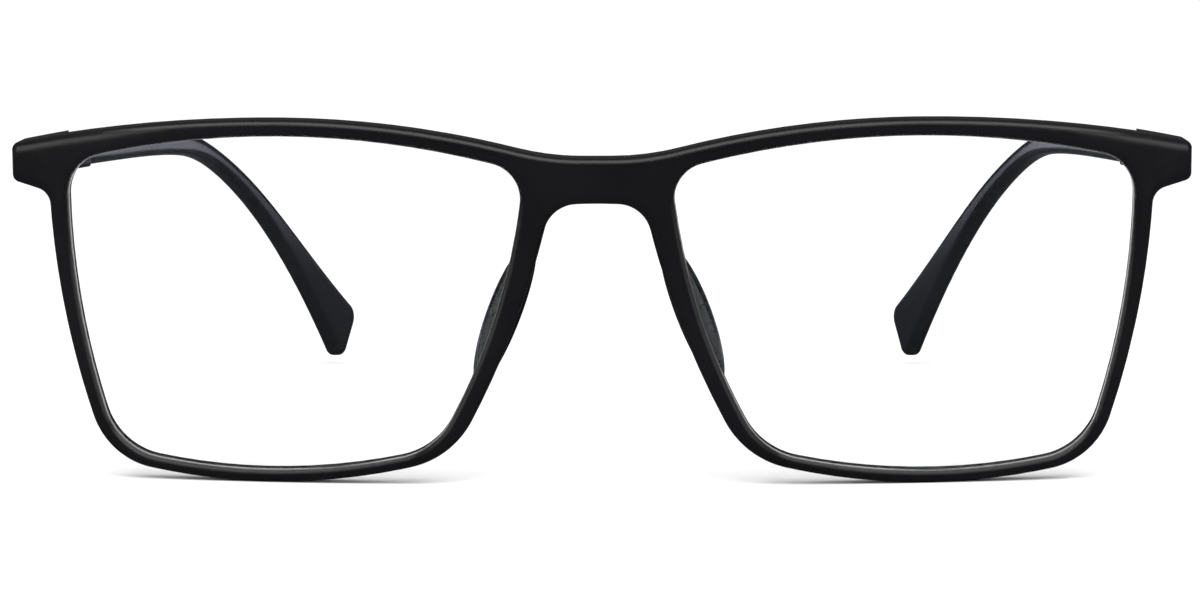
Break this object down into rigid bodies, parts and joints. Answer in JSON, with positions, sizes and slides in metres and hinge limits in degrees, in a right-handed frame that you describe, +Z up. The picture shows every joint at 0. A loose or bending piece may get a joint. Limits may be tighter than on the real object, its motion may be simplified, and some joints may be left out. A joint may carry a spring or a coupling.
{
  "type": "spectacle frame",
  "caption": "Full-rim black plastic eyeglasses with clear lenses, fixed nose pads and folding temples on spring hinges.",
  "frame": {"origin": "centre of the bounding box in plan, at the height of the surface the glasses stand on", "axes": "+X to the wearer's left, -Y the way the wearer looks, so the temples run back along +Y, +Z up"},
  "size_m": [0.14, 0.1456, 0.0431],
  "materials": {
    "frame_black": "deep black acetate, polished",
    "temple_black": "deep black acetate, polished",
    "pad_black": "black acetate, lightly worn",
    "lens_clear": "clear, coated",
    "hinge_alloy": "nickel silver, satin",
    "box_alloy": "nickel silver, satin",
    "eye_steel": "turned stainless steel",
    "screw_steel": "bright turned steel",
    "stop_brass": "turned brass",
    "bush_brass": "turned brass",
    "spring_steel": "drawn spring wire",
    "core_alloy": "drawn nickel silver wire"
  },
  "bodies": {
    "front_frame": {"front": "frame_black", "lens_left": "lens_clear", "lens_right": "lens_clear", "nose_pad_left": "pad_black", "nose_pad_right": "pad_black", "hinge_leaf_left": "hinge_alloy", "hinge_leaf_right": "hinge_alloy", "hinge_screw_left": "screw_steel", "hinge_screw_right": "screw_steel"},
    "eye_left": {"hinge_eye_left": "eye_steel", "stop_nut_left": "stop_brass"},
    "temple_arm_left": {"temple_left": "temple_black", "core_wire_left": "core_alloy", "spring_box_left": "box_alloy", "guide_bush_left": "bush_brass", "hinge_spring_left": "spring_steel"},
    "eye_right": {"hinge_eye_right": "eye_steel", "stop_nut_right": "stop_brass"},
    "temple_arm_right": {"temple_right": "temple_black", "core_wire_right": "core_alloy", "spring_box_right": "box_alloy", "guide_bush_right": "bush_brass", "hinge_spring_right": "spring_steel"}
  },
  "joints": [
    {"name": "left_temple_fold", "type": "hinge", "parent": "front_frame", "child": "eye_left", "pos_m": [0.06535, -0.05651, 0.03778], "axis": [0, 0, 1], "range_deg": [0, 70]},
    {"name": "left_temple_flex", "type": "slide", "parent": "eye_left", "child": "temple_arm_left", "axis": [-0.0993, 0.9951, 0], "range_m": [0, 0.0012], "stiffness_N_per_m": 400, "springref_m": -0.004, "deforming": ["hinge_spring_left"]},
    {"name": "right_temple_fold", "type": "hinge", "parent": "front_frame", "child": "eye_right", "pos_m": [-0.06535, -0.05651, 0.03778], "axis": [0, 0, -1], "range_deg": [0, 80]},
    {"name": "right_temple_flex", "type": "slide", "parent": "eye_right", "child": "temple_arm_right", "axis": [0.0993, 0.9951, 0], "range_m": [0, 0.0012], "stiffness_N_per_m": 400, "springref_m": -0.004, "deforming": ["hinge_spring_right"]}
  ]
}
